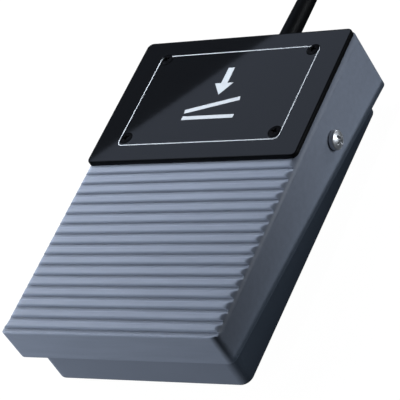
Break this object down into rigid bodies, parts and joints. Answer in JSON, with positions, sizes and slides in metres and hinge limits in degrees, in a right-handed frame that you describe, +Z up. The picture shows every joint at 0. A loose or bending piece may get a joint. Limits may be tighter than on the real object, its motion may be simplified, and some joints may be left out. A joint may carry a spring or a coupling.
{
  "type": "foot pedal switch",
  "caption": "Rocking foot pedal switch with a ribbed tread, a label plate, spring return, a lever microswitch and a corded data plug.",
  "frame": {"origin": "on the ground, under the middle of the pedal's outer box, without its cord", "axes": "+Z up, +Y towards the cord end, +X to the right when standing at the front edge"},
  "size_m": [0.0746, 0.3119, 0.0283],
  "materials": {
    "base_plastic": "fine texture",
    "cover_plastic": "fine texture, blue grey",
    "label_black": "smooth and glossy",
    "black_steel": "black oxide",
    "bright_steel": "nickel plated",
    "brass": "knurled insert",
    "spring_steel": "drawn wire and strip",
    "black_rubber": "matt",
    "board_green": "solder mask",
    "switch_black": "moulded",
    "switch_red": "moulded",
    "tinned_metal": "tinned",
    "chip_black": "moulded",
    "capacitor_tan": "ceramic",
    "connector_white": "moulded",
    "wire_red": "insulation",
    "wire_white": "insulation",
    "wire_green": "insulation",
    "wire_black": "insulation",
    "cord_black": "smooth jacket",
    "tie_black": "woven strap",
    "contact_gold": "gold plated"
  },
  "bodies": {
    "base": {"base_tray": "base_plastic", "pivot_screws": "bright_steel", "pivot_inserts": "brass", "return_springs": "spring_steel", "rubber_feet": "black_rubber", "rest_stop_pads": "black_rubber", "down_stop_pads": "black_rubber", "circuit_board": "board_green", "board_screws": "bright_steel", "switch_body": "switch_black", "switch_hinge_pin": "bright_steel", "switch_terminals": "tinned_metal", "controller_chip": "chip_black", "chip_leads": "tinned_metal", "crystal_can": "bright_steel", "chip_capacitors": "capacitor_tan", "chip_resistors": "chip_black", "cable_header": "connector_white", "header_pins": "tinned_metal", "cable_housing": "connector_white", "wire_red": "wire_red", "wire_white": "wire_white", "wire_green": "wire_green", "wire_black": "wire_black", "cord_clamp": "base_plastic", "clamp_screws": "bright_steel", "strain_relief": "cord_black", "cord_inner": "cord_black", "cord_lead": "cord_black", "cord_coil": "cord_black", "cord_tie": "tie_black", "cord_plug_lead": "cord_black", "plug_overmould": "cord_black", "plug_shell": "bright_steel", "plug_tongue": "connector_white", "plug_contacts": "contact_gold"},
    "pedal": {"pedal_cover": "cover_plastic", "label_plate": "label_black", "label_screws": "black_steel"},
    "lever": {"switch_lever": "spring_steel"},
    "plunger": {"switch_plunger": "switch_red"}
  },
  "joints": [
    {"name": "pedal_hinge", "type": "hinge", "parent": "base", "child": "pedal", "pos_m": [0, 0.0213, 0.0164], "axis": [1, 0, 0], "range_deg": [0, 4.2], "stiffness_Nm_per_rad": 9.1, "springref_deg": -3.07, "deforming": ["return_springs"]},
    {"name": "lever_hinge", "type": "hinge", "parent": "base", "child": "lever", "pos_m": [0, -0.021, 0.01845], "axis": [-1, 0, 0], "range_deg": [0, 8.54]},
    {"name": "plunger_slide", "type": "slide", "parent": "base", "child": "plunger", "axis": [0, 0, -1], "range_m": [0, 0.0008]}
  ],
  "couplings": [
    {"joint": "lever_hinge", "follows": "pedal_hinge", "ratio": 2.0214},
    {"joint": "plunger_slide", "follows": "pedal_hinge", "m_per_rad": 0.010107}
  ]
}
